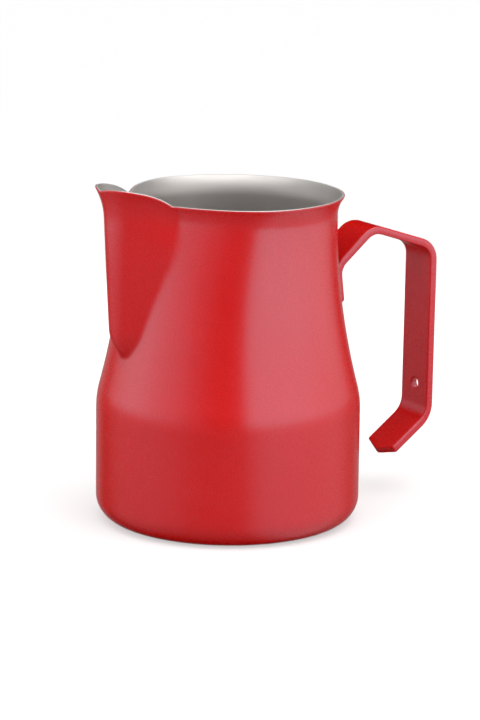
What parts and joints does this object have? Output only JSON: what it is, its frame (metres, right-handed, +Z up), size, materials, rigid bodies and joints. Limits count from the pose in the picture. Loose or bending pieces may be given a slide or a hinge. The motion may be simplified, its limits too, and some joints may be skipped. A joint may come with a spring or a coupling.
{
  "type": "milk frothing pitcher",
  "caption": "Powder-coated steel milk pitcher with a bare interior, a tapering body, a pressed pouring spout and an open bent flat-bar handle.",
  "frame": {"origin": "on the cup's vertical axis, at the plane it stands on", "axes": "+Z up; +X towards the handle, so the spout points along -X; +Y completes a right-handed frame"},
  "size_m": [0.1267, 0.088, 0.1149],
  "materials": {
    "stainless_steel": "satin, drawn and lightly brushed",
    "red_powder_coat": "satin powder coat"
  },
  "bodies": {
    "root": {"cup_shell": "stainless_steel", "cup_powder_coat": "red_powder_coat", "handle_bar": "red_powder_coat", "spot_weld_lower": "stainless_steel", "spot_weld_upper": "stainless_steel"}
  },
  "joints": []
}
